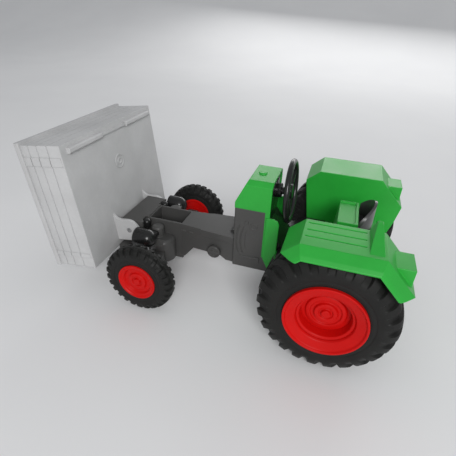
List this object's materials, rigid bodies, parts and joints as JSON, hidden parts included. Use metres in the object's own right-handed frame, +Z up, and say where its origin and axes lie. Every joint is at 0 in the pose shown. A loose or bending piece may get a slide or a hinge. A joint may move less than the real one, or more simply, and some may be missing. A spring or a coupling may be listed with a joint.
{
  "type": "toy tractor",
  "caption": "Toy tractor with a tipping front tray on an open frame, a short hood, a cab with wide fenders and large lugged rear wheels.",
  "frame": {"origin": "middle of the whole model's footprint, on the surface that it stands on, with the tray tipped", "axes": "+X towards the tray end, +Y to the driver's left, +Z up"},
  "size_m": [0.1954, 0.1148, 0.0916],
  "materials": {
    "frame_plastic": "dark grey moulded plastic, fine satin grain",
    "green_plastic": "green moulded plastic, soft gloss",
    "red_plastic": "red moulded plastic, soft gloss",
    "tyre_rubber": "black matt tyre rubber with lugs",
    "tray_plastic": "light grey moulded plastic, satin",
    "black_plastic": "black moulded plastic, satin",
    "seat_plastic": "dark grey moulded plastic",
    "axle_steel": "plain drawn steel rod",
    "clear_lens": "clear moulded lens"
  },
  "bodies": {
    "chassis": {"chassis_frame": "frame_plastic", "chassis_cover": "frame_plastic", "cover_screws": "axle_steel", "front_axle_beam": "frame_plastic", "axle_beam_keeper": "frame_plastic", "front_bumper": "frame_plastic", "left_headlight": "black_plastic", "left_headlight_lens": "clear_lens", "right_headlight": "black_plastic", "right_headlight_lens": "clear_lens", "latch_pegs": "black_plastic", "side_pegs": "frame_plastic", "tray_hinge_pin": "axle_steel", "hood": "green_plastic", "dash_panel": "black_plastic", "cab_floor": "green_plastic", "left_fender": "green_plastic", "right_fender": "green_plastic", "driver_seat_back": "seat_plastic", "tow_hitch": "frame_plastic"},
    "tipping_tray": {"tray": "tray_plastic"},
    "steering": {"steering_wheel": "black_plastic"},
    "front_wheels": {"front_axle": "axle_steel", "left_front_rim": "red_plastic", "right_front_rim": "red_plastic", "left_front_tyre": "tyre_rubber", "right_front_tyre": "tyre_rubber"},
    "rear_wheels": {"rear_axle": "axle_steel", "left_rear_rim": "red_plastic", "right_rear_rim": "red_plastic", "left_rear_tyre": "tyre_rubber", "right_rear_tyre": "tyre_rubber"}
  },
  "joints": [
    {"name": "tray_tip", "type": "hinge", "parent": "chassis", "child": "tipping_tray", "pos_m": [0.05527, 0, 0.03301], "axis": [0, -1, 0], "range_deg": [0, 97.2]},
    {"name": "steering_turn", "type": "hinge", "parent": "chassis", "child": "steering", "pos_m": [-0.03593, 0, 0.06766], "axis": [0.998, 0, -0.0628], "continuous": true},
    {"name": "front_wheels_roll", "type": "hinge", "parent": "chassis", "child": "front_wheels", "pos_m": [0.03567, 0, 0.02016], "axis": [0, 1, 0], "continuous": true},
    {"name": "rear_wheels_roll", "type": "hinge", "parent": "chassis", "child": "rear_wheels", "pos_m": [-0.06473, 0, 0.033], "axis": [0, 1, 0], "continuous": true}
  ]
}
